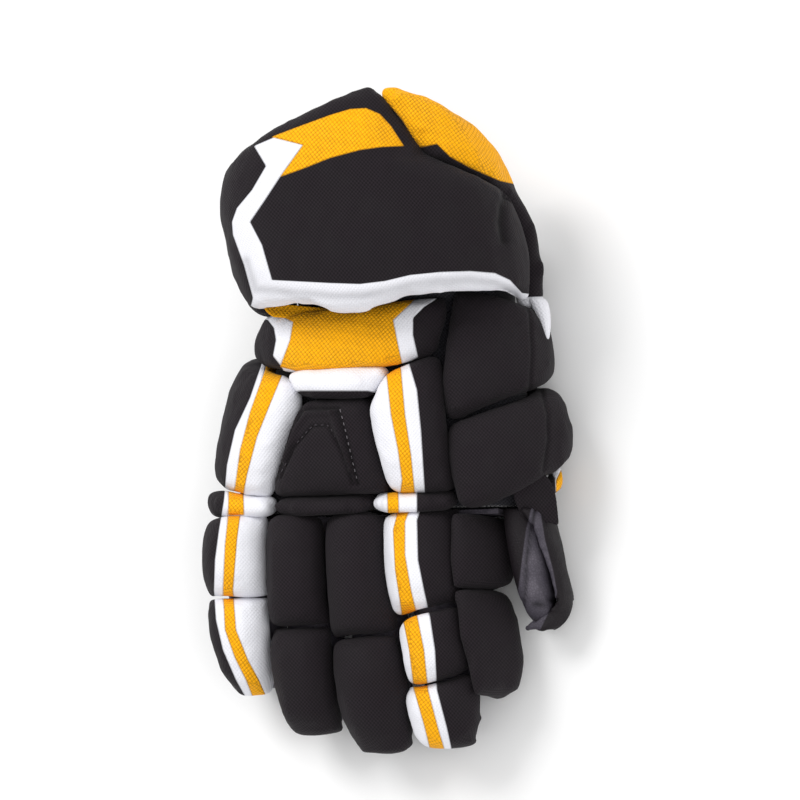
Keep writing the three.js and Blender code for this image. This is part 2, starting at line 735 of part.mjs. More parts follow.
/** The bed of the side pads: an upright wall along the index finger's pads. */
function sideBed(girth, y) {
  const across = fingerPitch * lookUp(sideEdgeTable, 'at', 'edge', y / gloveLength);
  return new THREE.Vector3(across, y, sidePadTop * stallSection(fingers.index, y).top - girth);
}
for (const [name, piece] of Object.entries(sidePads)) {
  const place = (u, v) => {
    const y = gloveLength * THREE.MathUtils.lerp(piece.end, piece.start, v);
    const height = sidePadTop * stallSection(fingers.index, y).top - sidePadFoot * handHeight;
    return [height * u, y];
  };
  add(name, pad({
    surface: sideBed,
    place,
    thickness: (u) => sidePadThickness * piece.thick * THREE.MathUtils.lerp(sideUpper, sideLower, u),
    bed: 0,
  }), black);
}

// The pad round the thumb's outer side and tip. left and right are girths in shares of fingerWidth.
const thumbRows = [
  { step: 0, left: -0.42, right: 0.72, leftAt: -0.312, rightAt: -0.312, bow: 0 },
  { step: 0.3, left: 0.36, right: 1.08, leftAt: -0.272, rightAt: -0.272, bow: 0 },
  { step: 0.75, left: 0.38, right: 1.28, leftAt: -0.170, rightAt: -0.170, bow: 0 },
  { step: 1, left: 0.16, right: 1.28, leftAt: -0.134, rightAt: -0.134, bow: 0 },
];
add('thumb_outer_pad', pad({
  surface: skin((y) => stallSection(fingers.thumb, y)),
  place: placeByRows(thumbRows, fingerWidth, () => 0),
  thickness: () => thumbRimThickness,
  bed: thumbBed,
}), black);

// The web's lower and upper edges, as shares of the index stall's middle and top, and how they bow
const webFoot = 0.5;
const webHead = 0.86;
const webLowerBow = 1.5;
const webUpperBow = 0.92;
const webCurveSegments = 6;

/** The leather panel between the mouths of the index finger and the thumb. */
function makeWeb() {
  const y = gloveLength * frontPlane;
  const index = stallSection(fingers.index, y);
  const thumb = stallSection(fingers.thumb, y);
  const left = index.centre + index.half + webGap;
  const right = thumb.centre - thumb.half - webGap;
  const low = index.middle * webFoot;
  const high = index.top * webHead;
  const shape = new THREE.Shape();
  shape.moveTo(left, low);
  shape.quadraticCurveTo((left + right) / 2, low * webLowerBow, right, low);
  shape.lineTo(right, high);
  shape.quadraticCurveTo((left + right) / 2, high * webUpperBow, left, high);
  shape.closePath();
  const geometry = new THREE.ExtrudeGeometry(shape, {
    depth: webThickness,
    bevelEnabled: false,
    curveSegments: webCurveSegments,
  });
  geometry.rotateX(Math.PI / 2);
  geometry.translate(0, y - clearance, 0);
  return geometry;
}
add('thumb_web', makeWeb(), leather);

// The origin lies under the middle of the glove, on the surface that it rests on.
const box = new THREE.Box3().setFromObject(group);
group.position.set(-(box.min.x + box.max.x) / 2, -(box.min.y + box.max.y) / 2, -box.min.z);

export default group;
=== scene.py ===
import json
import math

import bmesh
import bpy
import numpy as np
from mathutils import Matrix, Vector
from mathutils.bvhtree import BVHTree


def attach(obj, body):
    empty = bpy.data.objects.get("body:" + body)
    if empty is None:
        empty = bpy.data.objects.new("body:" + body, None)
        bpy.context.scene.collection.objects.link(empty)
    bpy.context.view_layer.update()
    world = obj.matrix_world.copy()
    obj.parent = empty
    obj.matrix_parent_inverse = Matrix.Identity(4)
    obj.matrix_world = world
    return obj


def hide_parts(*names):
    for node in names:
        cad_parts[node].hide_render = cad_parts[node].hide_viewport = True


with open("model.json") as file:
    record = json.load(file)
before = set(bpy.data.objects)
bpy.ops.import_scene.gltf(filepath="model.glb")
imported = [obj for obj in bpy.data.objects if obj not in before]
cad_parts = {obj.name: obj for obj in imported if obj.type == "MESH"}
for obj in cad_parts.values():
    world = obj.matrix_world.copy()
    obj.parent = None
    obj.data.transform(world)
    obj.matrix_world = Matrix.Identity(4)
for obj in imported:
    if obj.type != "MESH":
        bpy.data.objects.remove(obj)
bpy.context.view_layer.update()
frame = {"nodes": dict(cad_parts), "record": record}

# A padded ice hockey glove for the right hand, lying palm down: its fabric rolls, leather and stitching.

MM = 0.001
TINY = 1e-9                     # keeps divisions from zero

# The photograph's view: it looks down on the back of the glove, leaning to the thumb side and the fingers
PIXEL = 0.523 * MM              # size of a photograph's pixel at the glove
PHOTO_MIDDLE = 400.0            # the photograph's middle, in pixels
VIEW_LEAN = math.radians(22)    # from straight above towards the thumb
VIEW_TIP = math.radians(6)      # from straight above towards the fingertips
VIEW_DISTANCE = 3.0
VIEW_SENSOR = 36                # width of the camera's sensor, in millimetres
VIEW_END = 20                   # how far the camera sees
VIEW_SHIFT = (-2.4 * MM, 19.2 * MM)     # the photograph's middle, across and up in the view
VIEW_DEPTH = 50 * MM            # height of the middle of what is seen
view_back = Vector((
    math.sin(VIEW_LEAN) * math.cos(VIEW_TIP),
    -math.sin(VIEW_TIP),
    math.cos(VIEW_LEAN) * math.cos(VIEW_TIP),
))
view_right = Vector((math.cos(VIEW_LEAN), 0, -math.sin(VIEW_LEAN)))
view_up = view_back.cross(view_right)
view_target = view_right * VIEW_SHIFT[0] + view_up * VIEW_SHIFT[1] + view_back * VIEW_DEPTH
view_from = view_target + view_back * VIEW_DISTANCE


def make_camera():
    """The camera, at the photograph's angle to the glove."""
    data = bpy.data.cameras.new("camera")
    data.sensor_width = VIEW_SENSOR
    data.lens = data.sensor_width * VIEW_DISTANCE / (2 * PHOTO_MIDDLE * PIXEL)
    data.clip_end = VIEW_END
    camera = bpy.data.objects.new("camera", data)
    turn = Matrix((view_right, view_up, view_back)).transposed()
    camera.matrix_world = Matrix.Translation(view_from) @ turn.to_4x4()
    bpy.context.collection.objects.link(camera)
    bpy.context.scene.camera = camera


def to_photo(points):
    """Pixel places of points (an array of rows) in the photograph's frame."""
    offset = points - np.array(view_target)
    scale = VIEW_DISTANCE / (VIEW_DISTANCE - offset @ np.array(view_back)) / PIXEL
    across = PHOTO_MIDDLE + offset @ np.array(view_right) * scale
    down = PHOTO_MIDDLE - offset @ np.array(view_up) * scale
    return np.stack([across, down], -1)


def photo_ray(pixel):
    """Where a pixel's ray starts, and its direction."""
    aim = view_target + view_right * ((pixel[0] - PHOTO_MIDDLE) * PIXEL)
    aim += view_up * ((PHOTO_MIDDLE - pixel[1]) * PIXEL)
    return view_from, (aim - view_from).normalized()


# Colour zones in the photograph's pixels. Each pad is black, then white inside its white outlines,
# then yellow inside its yellow ones. Outlines run past a pad's edges where the colour does.
PINKY_BLACK_EDGE = [
    (262, 330), (262, 363), (250, 398), (235, 430), (227, 465), (224, 500), (219, 530), (215, 560),
    (214, 590), (216, 620), (223, 650), (236, 680), (250, 705),
]
PINKY_YELLOW_LEFT = [
    (272, 340), (265, 370), (250, 412), (240, 450), (235, 487), (229, 507), (225, 545), (223, 590),
    (225, 630), (235, 658), (246, 680), (256, 705),
]
PINKY_YELLOW_RIGHT = [
    (300, 340), (283, 373), (271, 402), (257, 437), (247, 475), (242, 502), (237, 540), (233, 590),
    (236, 630), (248, 660), (259, 680), (270, 705),
]
INDEX_YELLOW_LEFT = [
    (379, 340), (386, 370), (391, 415), (398, 450), (402, 480), (398, 510), (393, 530), (395, 570),
    (402, 615), (409, 650), (414, 690), (424, 725), (434, 765),
]
INDEX_YELLOW_RIGHT = [
    (395, 340), (401, 370), (405, 415), (411, 455), (415, 495), (405, 522), (405, 555), (411, 590),
    (417, 615), (424, 650), (428, 690), (438, 728), (449, 765),
]
INDEX_WHITE_RIGHT = [
    (403, 335), (409, 363), (417, 390), (421, 430), (425, 495), (417, 520), (418, 560), (424, 590),
    (430, 617), (435, 650), (437, 690), (447, 728), (455, 765),
]
PINKY_WHITE = PINKY_BLACK_EDGE + [(340, 705), (340, 330)]
PINKY_YELLOW = PINKY_YELLOW_LEFT + PINKY_YELLOW_RIGHT[::-1]
INDEX_WHITE = INDEX_WHITE_RIGHT + [(330, 765), (330, 335)]
INDEX_YELLOW = INDEX_YELLOW_LEFT + INDEX_YELLOW_RIGHT[::-1]
CUFF_WHITE = [
    (254, 146), (266, 166), (252, 190), (237, 208), (232, 222), (233, 235), (244, 265), (253, 298),
    (243, 335), (350, 350), (620, 340), (620, 300), (545, 296), (522, 293), (510, 280), (495, 273),
    (470, 271), (440, 272), (410, 275), (385, 281), (360, 284), (330, 283), (272, 280), (262, 245),
    (250, 222), (265, 200), (280, 177), (303, 145), (275, 137),
]
CUFF_YELLOW = [
    (271, 137), (300, 126), (330, 115), (350, 109), (366, 108), (380, 114), (391, 126), (404, 146),
    (382, 147), (360, 150), (330, 158), (305, 168), (280, 177), (303, 145),
]
CUFF_THUMB_YELLOW = [
    (371, 84), (377, 96), (390, 106), (402, 120), (418, 148), (437, 144), (450, 157), (470, 168),
    (500, 181), (519, 185), (560, 175), (600, 60), (400, 60),
]
CUFF_SIDE_WHITE = [(512, 294), (522, 297), (535, 297), (560, 295), (560, 350), (512, 350)]
LIP_END_WHITE = [(480, 240), (620, 240), (620, 400), (480, 400)]
CUFF_HEM_YELLOW = [(240, 290), (380, 290), (380, 340), (240, 340)]
BAR_WHITE = [(280, 366), (400, 366), (400, 394), (380, 394), (368, 391), (300, 391), (280, 398)]
WRIST_WHITE = [
    (247, 316), (268, 320), (274, 328), (276, 340), (273, 356), (281, 366), (300, 400), (380, 400),
    (404, 366), (418, 357), (413, 335), (413, 318), (424, 307), (438, 298), (430, 270), (250, 270),
]
WRIST_YELLOW = [
    (262, 290), (262, 308), (281, 316), (293, 322), (290, 340), (280, 367), (300, 372), (340, 376),
    (380, 374), (403, 368), (397, 340), (393, 320), (410, 304), (424, 290),
]
KNUCKLE_PINKY_YELLOW = [(229, 480), (243, 480), (244, 515), (228, 515)]
KNUCKLE_INDEX_YELLOW = [(387, 480), (398, 480), (399, 520), (388, 520)]
KNUCKLE_INDEX_WHITE = [(340, 480), (417, 480), (417, 520), (340, 520)]
STRIPE_PAD_WHITE = [(546, 455), (547, 467), (555, 478), (556, 493), (580, 500), (580, 455)]
STRIPE_PAD_YELLOW = [(564, 455), (563, 466), (556, 480), (556, 493), (580, 500), (580, 455)]
NOWHERE = -20.0                 # value of a zone that a piece doesn't have, in pixels outside
ZONE_WRAP = 0.25                # how far a zone goes on round a pad's side, as a share of facing down
ZONE_WRAPS = {"cuff_thumb_pad": 2.0, "lip_end": 2.0, "thumb_stripe_pad": 0.6}
ZONE_FADE = 60.0                # how fast it ends there, in pixels a share

ZONES = {
    "cuff_back_pad": {"white": [CUFF_WHITE], "yellow": [CUFF_YELLOW]},
    "cuff_thumb_pad": {"white": [CUFF_SIDE_WHITE], "yellow": [CUFF_THUMB_YELLOW]},
    "backhand_bar": {"white": [BAR_WHITE]},
    "wrist_roll": {"white": [WRIST_WHITE], "yellow": [WRIST_YELLOW]},
    "pinky_side_roll": {"white": [PINKY_WHITE], "yellow": [PINKY_YELLOW]},
    "index_side_roll": {"white": [INDEX_WHITE], "yellow": [INDEX_YELLOW]},
    "knuckle_roll_pinky": {"white": [PINKY_WHITE], "yellow": [KNUCKLE_PINKY_YELLOW]},
    "knuckle_roll_index": {"white": [KNUCKLE_INDEX_WHITE], "yellow": [KNUCKLE_INDEX_YELLOW]},
    "pinky_roll_1": {"white": [PINKY_WHITE], "yellow": [PINKY_YELLOW]},
    "pinky_roll_2": {"white": [PINKY_WHITE], "yellow": [PINKY_YELLOW]},
    "index_roll_1": {"white": [INDEX_WHITE], "yellow": [INDEX_YELLOW]},
    "index_roll_2": {"white": [INDEX_WHITE], "yellow": [INDEX_YELLOW]},
    "index_roll_3": {"white": [INDEX_WHITE], "yellow": [INDEX_YELLOW]},
    "thumb_stripe_pad": {"white": [STRIPE_PAD_WHITE], "yellow": [STRIPE_PAD_YELLOW]},
    "lip_end": {"white": [LIP_END_WHITE]},
    "wrist_hem": {"yellow": [CUFF_HEM_YELLOW]},
}


def signed_distance(points, outline):
    """Distance of each point to a closed outline, positive inside."""
    nearest = np.full(len(points), np.inf)
    inside = np.zeros(len(points), bool)
    corners = np.array(outline, float)
    for start, end in zip(corners, np.roll(corners, -1, axis=0)):
        edge = end - start
        share = np.clip(((points - start) @ edge) / (edge @ edge), 0, 1)
        nearest = np.minimum(nearest, np.linalg.norm(points - start - share[:, None] * edge, axis=1))
        crosses = (start[1] > points[:, 1]) != (end[1] > points[:, 1])
        rise = end[1] - start[1] if end[1] != start[1] else TINY
        inside ^= crosses & (points[:, 0] < start[0] + edge[0] * (points[:, 1] - start[1]) / rise)
    return np.where(inside, nearest, -nearest)


def coordinates(mesh):
    """A mesh's corners as an array of rows."""
    values = np.empty(len(mesh.vertices) * 3)
    mesh.vertices.foreach_get("co", values)
    return values.reshape(-1, 3)


def normals(mesh):
    """A mesh's normals at its corners, as an array of rows."""
    values = np.empty(len(mesh.vertices) * 3)
    mesh.vertices.foreach_get("normal", values)
    return values.reshape(-1, 3)


def move_corners(mesh, points):
    """Puts a mesh's corners at new places."""
    mesh.vertices.foreach_set("co", np.ascontiguousarray(points, dtype=float).ravel())
    mesh.update()


RIPPLE_WAVES = 7
RIPPLE_SPREAD = (0.7, 1.4)      # how much finer a wave may be than the scale
RIPPLE_GAIN = 1.6


def ripple(points, scale, seed):
    """A smooth random height from -1 to 1 at each point, with waves of about one scale."""
    draw = np.random.RandomState(seed)
    total = np.zeros(len(points))
    for _ in range(RIPPLE_WAVES):
        direction = draw.normal(size=3)
        direction *= 2 * math.pi / (scale * np.linalg.norm(direction)) * draw.uniform(*RIPPLE_SPREAD)
        total += np.sin(points @ direction + draw.uniform(0, 2 * math.pi))
    return total / RIPPLE_WAVES * RIPPLE_GAIN


WELD = 0.01 * MM
QUAD_ANGLE = math.radians(50)


def piece_from(node, name):
    """A new object that is a copy of a CAD node's mesh, with its flat cells joined to quads."""
    mesh = frame["nodes"][node].data.copy()
    mesh.name = name
    mesh.materials.clear()
    shape = bmesh.new()
    shape.from_mesh(mesh)
    bmesh.ops.remove_doubles(shape, verts=shape.verts, dist=WELD)
    bmesh.ops.join_triangles(
        shape, faces=shape.faces, angle_face_threshold=QUAD_ANGLE, angle_shape_threshold=QUAD_ANGLE,
    )
    shape.to_mesh(mesh)
    shape.free()
    piece = bpy.data.objects.new(name, mesh)
    bpy.context.collection.objects.link(piece)
    return piece


def apply_modifiers(piece):
    """Makes a piece's modifiers part of its mesh."""
    bpy.context.view_layer.update()
    seen = piece.evaluated_get(bpy.context.evaluated_depsgraph_get())
    mesh = bpy.data.meshes.new_from_object(seen)
    piece.modifiers.clear()
    old = piece.data
    piece.data = mesh
    bpy.data.meshes.remove(old)


def smooth(piece, levels):
    """Rounds a piece by subdivision, and shades it smooth."""
    modifier = piece.modifiers.new("smooth", "SUBSURF")
    modifier.levels = levels
    modifier.render_levels = levels
    apply_modifiers(piece)
    piece.data.polygons.foreach_set("use_smooth", [True] * len(piece.data.polygons))


def write_values(mesh, name, values):
    """Stores a value at each corner of a mesh, for its material."""
    mesh.attributes.new(name, "FLOAT", "POINT").data.foreach_set("value", values)


def stand(piece, node):
    """Makes a piece move with the root, and hides the CAD part that it replaces."""
    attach(piece, "root")
    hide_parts(node)


# Padding: each roll is a remeshed copy of its solid, swollen by a short cloth simulation
PAD_VOXEL = 4.0 * MM
PAD_SWELL_CAP = 2.4 * MM        # the furthest that a point may move while it swells
PAD_GROWTH = 0.9 * MM           # how much fuller a pad is made all over, so that it meets its neighbours
PAD_GROWTHS = {
    "cuff_thumb_pad": 1.5 * MM,
    "cuff_outer_pad": 1.5 * MM,
    "backhand_bar": 2.2 * MM,
    "knuckle_roll_pinky": 1.7 * MM,
    "knuckle_roll_index": 1.7 * MM,
    "thumb_outer_pad": 1.2 * MM,
}
PAD_STRETCH = {                 # across, along and up, from its middle
    "backhand_bar": (1.14, 1.25, 1.0),
    "index_roll_1": (1.1, 1.0, 1.0),
    "index_roll_3": (1.12, 1.0, 1.0),
}
PAD_MOVE = {
    "backhand_bar": (0, 2.2 * MM, 0),
    "index_roll_1": (-1.6 * MM, 0, 0),
    "index_roll_3": (-1.8 * MM, 0, 0),
}
THIN_PADS = ("thumb_outer_pad", "thumb_stripe_pad")     # rounded without a simulation
THIN_VOXEL = 1.5 * MM
THIN_ROUNDING = 14              # rounds of smoothing
THIN_ROUNDING_SHARE = 0.6
FLOOR_GAP = 0.2 * MM
PAD_FRAMES = 14
PAD_CLOTH = {
    "quality": 4,
    "mass": 0.15,
    "tension_stiffness": 8,
    "compression_stiffness": 8,
    "shear_stiffness": 5,
    "bending_stiffness": 0.6,
    "use_pressure": True,
    "uniform_pressure_force": 4.0,
}

slots = {row["node"]: row["material_slot"] for row in frame["record"]["subparts"]}
pad_nodes = sorted(node for node in slots if "_roll" in node or "_pad" in node or node == "backhand_bar")


def prepare_pad(node):
    """A pad's piece, evenly remeshed, ready to swell."""
    piece = piece_from(node, "soft_" + node)
    remesh = piece.modifiers.new("remesh", "REMESH")
    remesh.mode = "VOXEL"
    remesh.voxel_size = THIN_VOXEL if node in THIN_PADS else PAD_VOXEL
    if node in THIN_PADS:
        rounding = piece.modifiers.new("round", "SMOOTH")
        rounding.factor = THIN_ROUNDING_SHARE
        rounding.iterations = THIN_ROUNDING
    apply_modifiers(piece)
    points = coordinates(piece.data)
    middle = (points.min(axis=0) + points.max(axis=0)) / 2
    points = middle + (points - middle) * PAD_STRETCH.get(node, (1, 1, 1)) + PAD_MOVE.get(node, (0, 0, 0))
    move_corners(piece.data, points)
    return piece


def swell(pieces):
    """Blows up all pads together as cloth, and caps how far each point moves."""
    scene = bpy.context.scene
    rest = {piece.name: coordinates(piece.data) for piece in pieces}
    for piece in pieces:
        cloth = piece.modifiers.new("swell", "CLOTH")
        for setting, value in PAD_CLOTH.items():
            setattr(cloth.settings, setting, value)
        cloth.settings.effector_weights.gravity = 0
        cloth.collision_settings.use_collision = False
        cloth.collision_settings.use_self_collision = False
        cloth.point_cache.frame_start = 1
        cloth.point_cache.frame_end = PAD_FRAMES
    for number in range(1, PAD_FRAMES + 1):
        scene.frame_set(number)
    graph = bpy.context.evaluated_depsgraph_get()
    swollen = {piece.name: coordinates(piece.evaluated_get(graph).data) for piece in pieces}
    for piece in pieces:
        piece.modifiers.clear()
        start = rest[piece.name]
        motion = swollen[piece.name] - start
        length = np.linalg.norm(motion, axis=1, keepdims=True)
        motion *= np.minimum(1, PAD_SWELL_CAP / np.maximum(length, TINY))
        move_corners(piece.data, start + motion)
    scene.frame_set(1)


def add_zones(piece, node):
    """Writes how far each corner is inside the white and the yellow zones, in pixels."""
    mesh = piece.data
    places = to_photo(coordinates(mesh))
    turned_up = (normals(mesh) @ np.array(view_back) + ZONE_WRAPS.get(node, ZONE_WRAP)) * ZONE_FADE
    outlines = ZONES.get(node, {})
    for zone in ("white", "yellow"):
        inside = np.full(len(places), NOWHERE)
        for outline in outlines.get(zone, []):
            inside = np.maximum(inside, signed_distance(places, outline))
        inside = np.minimum(inside, turned_up)
        write_values(mesh, zone, inside)


# Materials
def linear(share):
    """A colour's channel, from 0 to 1 as seen, made linear."""
    return share / 12.92 if share <= 0.04045 else ((share + 0.055) / 1.055) ** 2.4


def srgb(red, green, blue):
    """A colour given as seen, from 0 to 255, for a shader."""
    return [linear(value / 255) for value in (red, green, blue)] + [1.0]


BLACK = srgb(26, 21, 25)
WHITE = srgb(238, 238, 244)
YELLOW = srgb(252, 176, 6)
LEATHER = srgb(74, 70, 79)
LINING = srgb(34, 33, 38)


MIX_FIRST = 6                   # places of the colour sockets in a mix node
MIX_SECOND = 7
MIX_RESULT = 2
FACING_POWER = 24.0             # how sharply the weave changes from one direction to the next
SPECULAR = 0.2
SHEEN_ROUGHNESS = 0.5


class Shader:
    """A material's nodes, made and linked by short calls."""

    def __init__(self, name):
        self.material = bpy.data.materials.new(name)
        self.material.use_nodes = True
        self.tree = self.material.node_tree
        self.principled = self.tree.nodes["Principled BSDF"]
        where = self.make("ShaderNodeTexCoord")
        self.place = self.turned(where.outputs["Object"])
        self.outward = self.turned(where.outputs["Normal"])
        self.shares = None

    def make(self, kind, **settings):
        node = self.tree.nodes.new(kind)
        for key, value in settings.items():
            setattr(node, key, value)
        return node

    def turned(self, vector):
        """A vector in axes that lean to the thumb, so that the weave's directions meet on the sides."""
        node = self.make("ShaderNodeVectorRotate", rotation_type="Y_AXIS")
        self.feed(node.inputs["Vector"], vector)
        node.inputs["Angle"].default_value = -VIEW_LEAN
        return node.outputs["Vector"]

    def feed(self, socket, value):
        """Links a socket to an output, or sets it to a value."""
        if isinstance(value, bpy.types.NodeSocket):
            self.tree.links.new(value, socket)
        else:
            socket.default_value = value

    def math(self, operation, first, second=0.0, third=0.0):
        node = self.make("ShaderNodeMath", operation=operation)
        for socket, value in zip(node.inputs, (first, second, third)):
            self.feed(socket, value)
        return node.outputs[0]

    def scaled(self, value, factor, base=0.0):
        """A value times a factor, on top of a base."""
        return self.math("MULTIPLY_ADD", value, factor, base)

    def attribute(self, name):
        return self.make("ShaderNodeAttribute", attribute_name=name).outputs["Fac"]

    def ramp(self, value, low, high, start=0.0, end=1.0):
        """A value mapped smoothly from one range to another."""
        node = self.make("ShaderNodeMapRange", interpolation_type="SMOOTHSTEP")
        sockets = ("Value", "From Min", "From Max", "To Min", "To Max")
        for socket, number in zip(sockets, (value, low, high, start, end)):
            self.feed(node.inputs[socket], number)
        return node.outputs["Result"]

    def mix(self, share, first, second):
        node = self.make("ShaderNodeMix", data_type="RGBA")
        self.feed(node.inputs["Factor"], share)
        self.feed(node.inputs[MIX_FIRST], first)
        self.feed(node.inputs[MIX_SECOND], second)
        return node.outputs[MIX_RESULT]

    def shade(self, color, amount):
        """A colour made darker or lighter by a factor."""
        node = self.make("ShaderNodeMix", data_type="RGBA", blend_type="MULTIPLY")
        node.inputs["Factor"].default_value = 1.0
        combine = self.make("ShaderNodeCombineColor")
        for channel in combine.inputs:
            self.feed(channel, amount)
        self.feed(node.inputs[MIX_FIRST], color)
        self.feed(node.inputs[MIX_SECOND], combine.outputs[0])
        return node.outputs[MIX_RESULT]

    def noise(self, scale, detail=2.0, roughness=0.5):
        node = self.make("ShaderNodeTexNoise")
        node.inputs["Scale"].default_value = scale
        node.inputs["Detail"].default_value = detail
        node.inputs["Roughness"].default_value = roughness
        self.feed(node.inputs["Vector"], self.place)
        return node.outputs["Fac"]

    def wave(self, direction, pitch):
        """A wave from -1 to 1 along one direction."""
        dot = self.make("ShaderNodeVectorMath", operation="DOT_PRODUCT")
        self.feed(dot.inputs[0], self.place)
        length = math.sqrt(sum(part * part for part in direction))
        dot.inputs[1].default_value = [part * 2 * math.pi / (length * pitch) for part in direction]
        return self.math("SINE", dot.outputs["Value"])

    def facing(self):
        """How much a surface faces X, Y and Z, in shares that add up to 1."""
        if self.shares is None:
            split = self.make("ShaderNodeSeparateXYZ")
            self.feed(split.inputs[0], self.outward)
            powers = []
            for part in split.outputs:
                powers.append(self.math("POWER", self.math("ABSOLUTE", part), FACING_POWER))
            total = self.math("ADD", self.math("ADD", powers[0], powers[1]), powers[2])
            self.shares = [self.math("DIVIDE", power, total) for power in powers]
        return self.shares

    def threads(self, lean, pitch):
        """A wave across threads that lie in the surface, leaning one way (1) or the other (-1)."""
        directions = ((0.0, 1.0, lean), (1.0, 0.0, lean), (1.0, lean, 0.0))
        total = None
        for share, direction in zip(self.facing(), directions):
            part = self.math("MULTIPLY", share, self.wave(direction, pitch))
            total = part if total is None else self.math("ADD", total, part)
        return total

    def bump(self, height, distance, strength=1.0):
        node = self.make("ShaderNodeBump")
        node.inputs["Strength"].default_value = strength
        node.inputs["Distance"].default_value = distance
        self.feed(node.inputs["Height"], height)
        self.feed(self.principled.inputs["Normal"], node.outputs["Normal"])

    def finish(self, color, roughness, sheen=0.0):
        self.feed(self.principled.inputs["Base Color"], color)
        self.feed(self.principled.inputs["Roughness"], roughness)
        self.principled.inputs["Specular IOR Level"].default_value = SPECULAR
        self.principled.inputs["Sheen Weight"].default_value = sheen
        self.principled.inputs["Sheen Roughness"].default_value = SHEEN_ROUGHNESS
        return self.material


TWILL_PITCH = 1.35 * MM
MESH_PITCH = 3.4 * MM
KNIT_PITCH = 1.3 * MM
SEAM_WIDTH = 1.1                # half width of the groove between two colours, in pixels
SEAM_SHADE = 0.22               # painted shade: how much darker the groove is painted
ZONE_SOFTNESS = 0.5             # half width of the change from one colour to the next, in pixels
TWILL_SHARE = 0.55              # of the threads that lean one way
PATCH_SCALE = 60
FUZZ_SCALE = 1400
YELLOW_WEAR = 0.35
# painted shade: how much darker the cloth is painted in a pressed line's crease
CLOTH_CREASE_SHADE = 0.6
# Shares of the relief
TWILL_RELIEF = 0.35
FUZZ_RELIEF = 0.5
MESH_RELIEF = 1.1
SEAM_RELIEF = 1.6


def make_cloth(name):
    """Sewn cloth: black twill, smooth white knit and yellow mesh, by the piece's zones, with painted
    shade in its grooves and creases.
    """
    shader = Shader(name)
    white_zone = shader.attribute("white")
    yellow_zone = shader.attribute("yellow")
    is_white = shader.ramp(white_zone, -ZONE_SOFTNESS, ZONE_SOFTNESS)
    is_yellow = shader.ramp(yellow_zone, -ZONE_SOFTNESS, ZONE_SOFTNESS)
    twill_a = shader.threads(1, TWILL_PITCH)
    twill_b = shader.threads(-0.8, TWILL_PITCH * 1.1)
    twill = shader.scaled(twill_a, TWILL_SHARE, shader.scaled(twill_b, 1 - TWILL_SHARE))
    mesh_a = shader.threads(0.7, MESH_PITCH)
    mesh_b = shader.threads(-1.2, MESH_PITCH)
    holes = shader.math("MULTIPLY", shader.math("ABSOLUTE", mesh_a), shader.math("ABSOLUTE", mesh_b))
    knit = shader.math("MULTIPLY", shader.threads(1, KNIT_PITCH), shader.threads(-1, KNIT_PITCH))
    patches = shader.noise(PATCH_SCALE, 3.0)
    fuzz = shader.noise(FUZZ_SCALE)
    black = shader.shade(BLACK, shader.ramp(shader.math("ADD", twill, patches), -0.4, 1.6, 0.6, 1.8))
    white = shader.shade(WHITE, shader.ramp(shader.math("ADD", knit, patches), -0.6, 1.4, 0.93, 1.0))
    worn = shader.scaled(patches, YELLOW_WEAR, holes)
    yellow = shader.shade(YELLOW, shader.ramp(worn, 0.08, 0.62, 0.55, 1.06))
    cloth = shader.mix(is_yellow, shader.mix(is_white, black, white), yellow)
    near_white = shader.math("ABSOLUTE", white_zone)
    near_yellow = shader.math("ABSOLUTE", yellow_zone)
    seam = shader.ramp(shader.math("MINIMUM", near_white, near_yellow), 0.0, SEAM_WIDTH)
    # Painted shade: darker in the grooves between colours
    painted_groove_shade = shader.scaled(seam, SEAM_SHADE, 1 - SEAM_SHADE)
    # Painted shade: darker in the pressed lines' creases
    crease_and_shade = shader.scaled(shader.attribute("crease_and_shade"), -CLOTH_CREASE_SHADE, 1.0)
    color = shader.shade(cloth, shader.math("MULTIPLY", painted_groove_shade, crease_and_shade))
    weave = shader.scaled(twill, TWILL_RELIEF, shader.scaled(fuzz, FUZZ_RELIEF))
    mesh_relief = shader.math("MULTIPLY", shader.scaled(holes, MESH_RELIEF), is_yellow)
    relief = shader.scaled(seam, SEAM_RELIEF, shader.math("ADD", weave, mesh_relief))
    shader.bump(relief, distance=0.35 * MM, strength=0.8)
    return shader.finish(color, roughness=shader.ramp(patches, 0.3, 0.7, 0.78, 0.92), sheen=0.03)


PORE_SHADE = 0.25
PORE_BASE = 0.78
# painted shade: how much darker the leather is painted in its creases
LEATHER_CREASE_SHADE = 0.65
BLACK_SOFTNESS = 0.8             # half width of the change to black, in pixels
WEAR_SCALE = 35
ROUGH_SCALE = 900


def make_leather(name, tone, grain, worn):
    """Soft leather with a fine grain, lighter where it is worn, with painted shade in its creases, and
    black outside its grey zone.
    """
    shader = Shader(name)
    cells = shader.make("ShaderNodeTexVoronoi", feature="DISTANCE_TO_EDGE")
    cells.inputs["Scale"].default_value = 1 / grain
    shader.feed(cells.inputs["Vector"], shader.place)
    pores = shader.ramp(cells.outputs["Distance"], 0.0, 0.25)
    wear = shader.noise(WEAR_SCALE, 4.0, 0.6)
    tint = shader.mix(shader.ramp(wear, 0.45, 0.75), tone, worn)
    outer = shader.ramp(shader.attribute("black"), -BLACK_SOFTNESS, BLACK_SOFTNESS)
    grained = shader.shade(shader.mix(outer, tint, BLACK), shader.scaled(pores, PORE_SHADE, PORE_BASE))
    # Painted shade: darker in the thumb's folds and seams
    crease_and_shade = shader.scaled(shader.attribute("crease_and_shade"), -LEATHER_CREASE_SHADE, 1.0)
    color = shader.shade(grained, crease_and_shade)
    height = shader.scaled(shader.noise(ROUGH_SCALE), 0.5, pores)
    shader.bump(height, distance=0.2 * MM, strength=0.6)
    return shader.finish(color, roughness=shader.ramp(wear, 0.3, 0.7, 0.5, 0.68))


LINING_PITCH = 2 * MM
TWIST_PITCH = 0.6 * MM
NAP_SCALE = 1200


